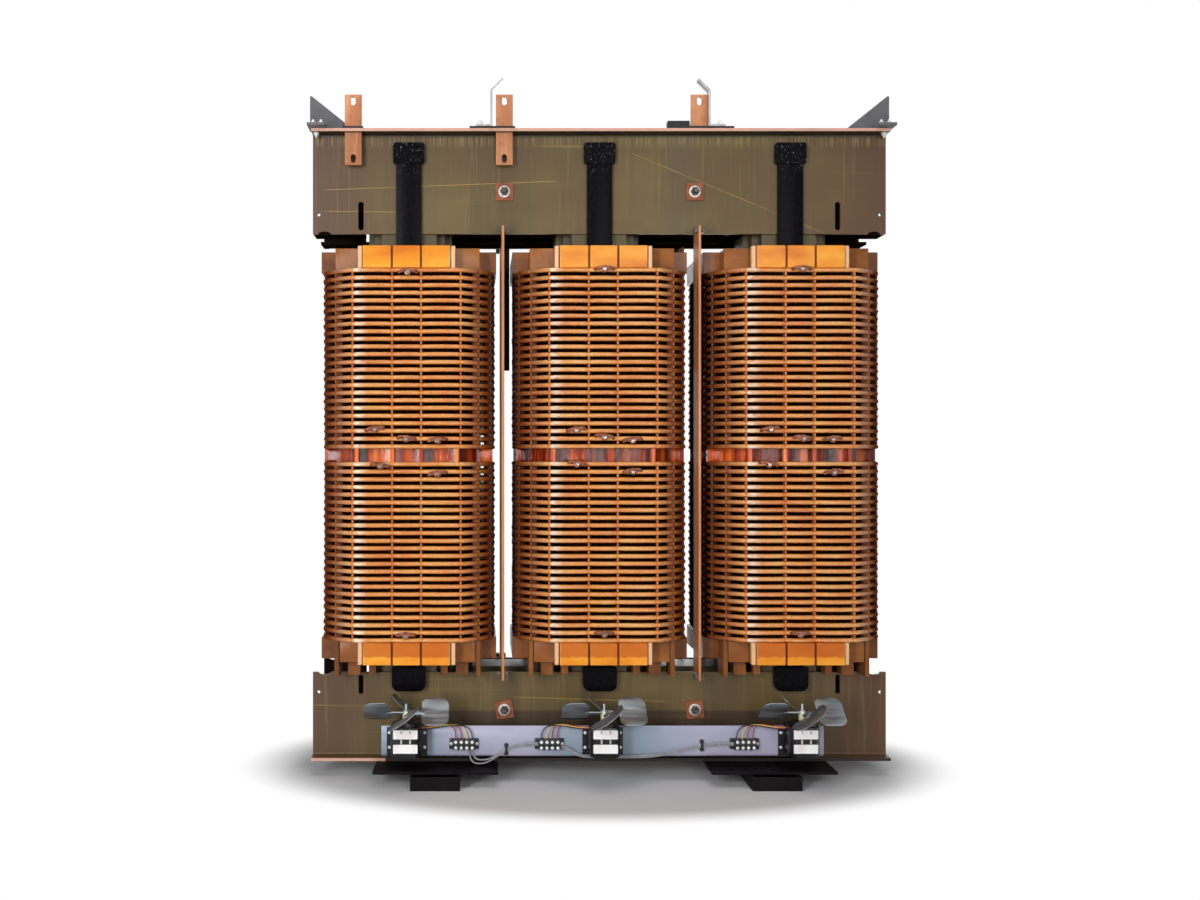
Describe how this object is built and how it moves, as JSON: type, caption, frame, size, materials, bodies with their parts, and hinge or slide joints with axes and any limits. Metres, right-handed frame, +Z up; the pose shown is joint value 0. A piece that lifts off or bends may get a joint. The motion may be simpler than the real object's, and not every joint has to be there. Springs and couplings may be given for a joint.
{
  "type": "dry-type power transformer",
  "caption": "Open-wound dry-type power transformer: laminated three-leg core with clamps, stacked disc windings, copper terminal bars, feet and a rail of cooling fans.",
  "frame": {"origin": "on the floor, midway between the four anchor holes of the two feet, under the core's middle leg", "axes": "+Z up along the core legs, +X along the row of three coils to the right, +Y to the back; the fans and terminals face -Y"},
  "size_m": [1.792, 0.749, 2.141],
  "materials": {
    "core_varnish": "varnished sheet edges",
    "clamp_varnish": "olive varnish",
    "foot_paint": "satin black",
    "strap_varnish": "glossy black",
    "wrapped_wire": "varnished wire wrap",
    "foil_winding": "varnished",
    "barrier_board": "glossy varnish",
    "collar_board": "amber varnish",
    "support_board": "matt",
    "terracotta_board": "matt",
    "bare_copper": "dull copper",
    "dark_plate": "dark grey",
    "grey_strip": "dull zinc",
    "black_board": "matt black",
    "orange_strip": "varnished",
    "black_lead": "wrapped",
    "rail_zinc": "zinc plated",
    "motor_black": "gloss black",
    "blade_metal": "satin",
    "block_moulding": "moulded",
    "lead_sleeve": "soft",
    "cable_jacket": "soft grey",
    "dark_steel": "dark zinc"
  },
  "bodies": {
    "transformer": {"barriers": "barrier_board", "bottom_collar_left": "collar_board", "bottom_collar_middle": "collar_board", "bottom_collar_right": "collar_board", "bottom_yoke": "core_varnish", "clamp_studs": "dark_steel", "clamp_washers": "terracotta_board", "coil_supports": "support_board", "core_legs": "core_varnish", "corner_gussets": "dark_plate", "fan_motor_left": "motor_black", "fan_motor_middle": "motor_black", "fan_motor_right": "motor_black", "fan_rail": "rail_zinc", "feet": "foot_paint", "front_bottom_clamp": "clamp_varnish", "front_tie_straps": "strap_varnish", "front_top_clamp": "clamp_varnish", "hv_winding_left": "wrapped_wire", "hv_winding_middle": "wrapped_wire", "hv_winding_right": "wrapped_wire", "lead_brackets": "grey_strip", "lv_winding_left": "foil_winding", "lv_winding_middle": "foil_winding", "lv_winding_right": "foil_winding", "motor_leads": "lead_sleeve", "phase_strips": "orange_strip", "rear_bottom_clamp": "clamp_varnish", "rear_lead_bars": "black_lead", "rear_tie_straps": "strap_varnish", "rear_top_clamp": "clamp_varnish", "supply_cable": "cable_jacket", "terminal_bar_left": "bare_copper", "terminal_bar_middle": "bare_copper", "terminal_bar_right": "bare_copper", "terminal_blocks": "block_moulding", "terminal_pads": "black_board", "top_collar_left": "collar_board", "top_collar_middle": "collar_board", "top_collar_right": "collar_board", "top_yoke": "core_varnish"},
    "fan_rotor_left": {"fan_rotor_left": "blade_metal"},
    "fan_rotor_middle": {"fan_rotor_middle": "blade_metal"},
    "fan_rotor_right": {"fan_rotor_right": "blade_metal"}
  },
  "joints": [
    {"name": "fan_spin_left", "type": "hinge", "parent": "transformer", "child": "fan_rotor_left", "pos_m": [-0.59, -0.28, 0.19], "axis": [0, 0, 1], "continuous": true},
    {"name": "fan_spin_middle", "type": "hinge", "parent": "transformer", "child": "fan_rotor_middle", "pos_m": [0, -0.28, 0.19], "axis": [0, 0, 1], "continuous": true},
    {"name": "fan_spin_right", "type": "hinge", "parent": "transformer", "child": "fan_rotor_right", "pos_m": [0.59, -0.28, 0.19], "axis": [0, 0, 1], "continuous": true}
  ]
}
